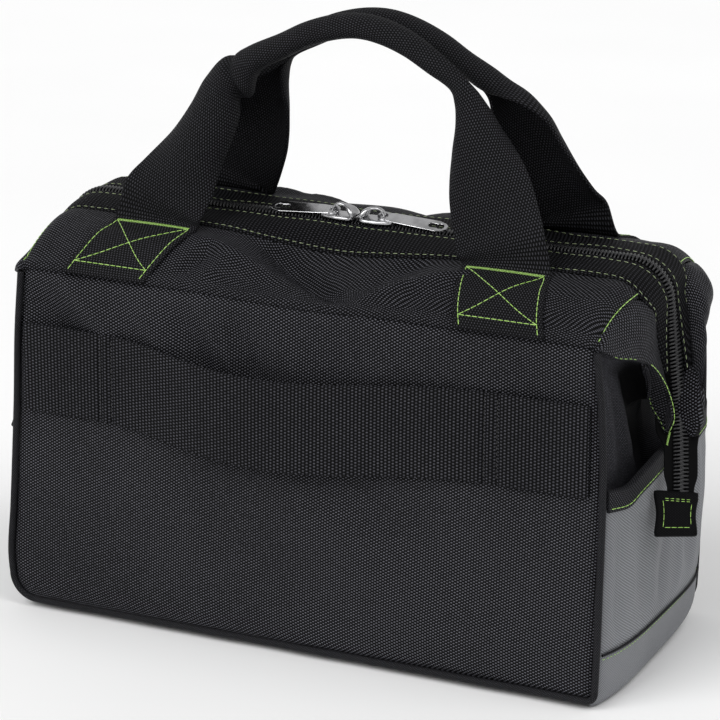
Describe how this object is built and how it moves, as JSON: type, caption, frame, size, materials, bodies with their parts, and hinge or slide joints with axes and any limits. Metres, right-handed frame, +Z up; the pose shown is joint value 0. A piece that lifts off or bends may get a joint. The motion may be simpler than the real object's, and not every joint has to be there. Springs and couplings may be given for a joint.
{
  "type": "tool bag",
  "caption": "Soft wide-mouth tool bag with a zip along the top, rolled webbing handles, a loose webbing band on the front and open grey side pockets.",
  "frame": {"origin": "centre of the base, where the bag stands on the floor", "axes": "+X along the mouth to the right as seen from the front, +Y from the front panel to the back panel, +Z up"},
  "size_m": [0.4276, 0.1718, 0.3517],
  "materials": {
    "ballistic": "heavy black ballistic weave",
    "webbing": "ribbed black webbing",
    "gusset": "smooth black cloth",
    "grey_twill": "fine grey twill",
    "zip_tape": "black zip tape",
    "zip_coil": "black nylon coil",
    "nickel": "bright nickel plate",
    "thread": "lime green sewing thread"
  },
  "bodies": {
    "bag": {"front_panel": "ballistic", "back_panel": "ballistic", "piping_front": "gusset", "piping_back": "gusset", "top_front": "ballistic", "top_back": "ballistic", "zip_border_front": "webbing", "zip_border_back": "webbing", "zip_tape_front": "zip_tape", "zip_tape_back": "zip_tape", "handle_front": "webbing", "handle_back": "webbing", "side_panel_left": "gusset", "side_panel_right": "gusset", "lower_band_left": "grey_twill", "lower_band_right": "grey_twill", "pocket_left": "grey_twill", "pocket_right": "grey_twill", "pocket_binding_left": "webbing", "pocket_binding_right": "webbing", "wing_front_left": "ballistic", "wing_front_right": "ballistic", "wing_back_left": "ballistic", "wing_back_right": "ballistic", "zip_tab_left": "webbing", "zip_tab_right": "webbing", "zip_slider_left": "nickel", "zip_slider_right": "nickel", "base": "gusset", "front_band": "webbing", "zip_chain": "zip_coil"},
    "pull_left": {"zip_pull_left": "nickel"},
    "pull_right": {"zip_pull_right": "nickel"}
  },
  "joints": [
    {"name": "pull_left_turn", "type": "hinge", "parent": "bag", "child": "pull_left", "pos_m": [-0.011, 0, 0.2365], "axis": [0, 1, 0], "range_deg": [0, 100]},
    {"name": "pull_right_turn", "type": "hinge", "parent": "bag", "child": "pull_right", "pos_m": [0.011, 0, 0.2365], "axis": [0, -1, 0], "range_deg": [0, 100]}
  ]
}
